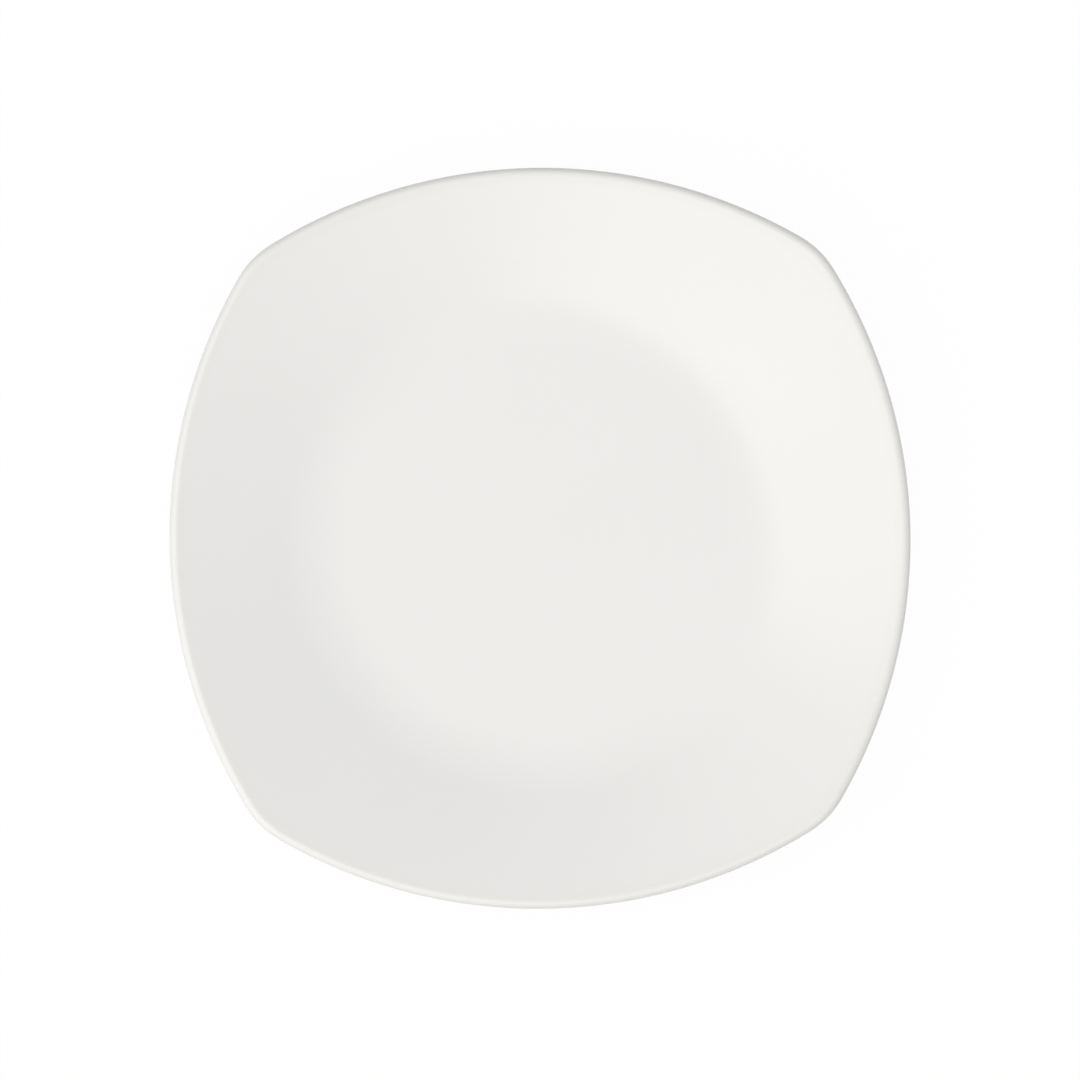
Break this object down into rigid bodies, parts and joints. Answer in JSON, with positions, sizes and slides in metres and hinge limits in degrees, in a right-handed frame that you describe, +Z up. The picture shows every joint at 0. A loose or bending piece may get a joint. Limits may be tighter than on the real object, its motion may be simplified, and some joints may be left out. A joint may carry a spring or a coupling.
{
  "type": "square plate",
  "caption": "Square coupe dinner plate in white glazed porcelain, with bowed sides, rounded corners, a round flat well and a bare foot ring.",
  "frame": {"origin": "on the table under the middle of the plate, in the plane that the foot ring stands on", "axes": "+Z up out of the well, +X and +Y square to two neighbouring sides"},
  "size_m": [0.26, 0.26, 0.0285],
  "materials": {
    "bare_porcelain": "matte",
    "white_glaze": "gloss"
  },
  "bodies": {
    "root": {"porcelain_body": "bare_porcelain", "face_glaze": "white_glaze", "base_glaze": "white_glaze"}
  },
  "joints": []
}
